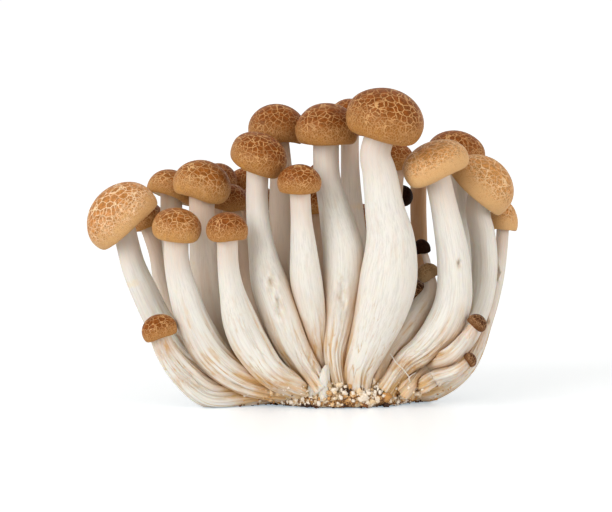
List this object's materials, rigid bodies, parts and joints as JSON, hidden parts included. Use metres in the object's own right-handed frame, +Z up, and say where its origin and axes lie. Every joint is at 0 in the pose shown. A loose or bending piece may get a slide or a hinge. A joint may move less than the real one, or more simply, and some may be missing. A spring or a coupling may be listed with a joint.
{
  "type": "mushroom clump",
  "caption": "Clump of brown beech mushrooms: cracked brown caps with a cream net, thick white stalks fanning out of one crumbly cut base.",
  "frame": {"origin": "on the flat underside of the cut base, 8.5 mm to the left of its middle, under the middle of the clump's width", "axes": "+Z up from the surface that the clump stands on, +X to the right along its width, +Y away from the side that shows best"},
  "size_m": [0.1071, 0.0553, 0.0779],
  "materials": {
    "cap_skin": "brown cap skin, cracked into plates with a pale cream net between them, softly satin",
    "stalk_flesh": "ivory white stalk, fine fibres along it, tan stains towards its foot",
    "base_crumbs": "cream mycelium with orange and brown crumbs of the growing block, dull"
  },
  "bodies": {
    "root": {"cap_01": "cap_skin", "cap_02": "cap_skin", "cap_03": "cap_skin", "cap_04": "cap_skin", "cap_05": "cap_skin", "cap_06": "cap_skin", "cap_07": "cap_skin", "cap_08": "cap_skin", "cap_09": "cap_skin", "cap_10": "cap_skin", "cap_11": "cap_skin", "cap_12": "cap_skin", "cap_13": "cap_skin", "cap_14": "cap_skin", "cap_15": "cap_skin", "cap_16": "cap_skin", "cap_17": "cap_skin", "cap_18": "cap_skin", "cap_19": "cap_skin", "cap_20": "cap_skin", "cap_21": "cap_skin", "cap_22": "cap_skin", "cap_23": "cap_skin", "cap_24": "cap_skin", "cap_25": "cap_skin", "cap_26": "cap_skin", "cap_27": "cap_skin", "cap_28": "cap_skin", "cap_30": "cap_skin", "cap_31": "cap_skin", "cap_34": "cap_skin", "cap_35": "cap_skin", "stem_01": "stalk_flesh", "stem_02": "stalk_flesh", "stem_03": "stalk_flesh", "stem_04": "stalk_flesh", "stem_05": "stalk_flesh", "stem_06": "stalk_flesh", "stem_07": "stalk_flesh", "stem_08": "stalk_flesh", "stem_09": "stalk_flesh", "stem_10": "stalk_flesh", "stem_11": "stalk_flesh", "stem_12": "stalk_flesh", "stem_13": "stalk_flesh", "stem_14": "stalk_flesh", "stem_15": "stalk_flesh", "stem_16": "stalk_flesh", "stem_17": "stalk_flesh", "stem_18": "stalk_flesh", "stem_19": "stalk_flesh", "stem_20": "stalk_flesh", "stem_22": "stalk_flesh", "stem_26": "stalk_flesh", "stem_28": "stalk_flesh", "stem_30": "stalk_flesh", "stem_31": "stalk_flesh", "stem_34": "stalk_flesh", "stem_35": "stalk_flesh", "base": "base_crumbs"}
  },
  "joints": []
}
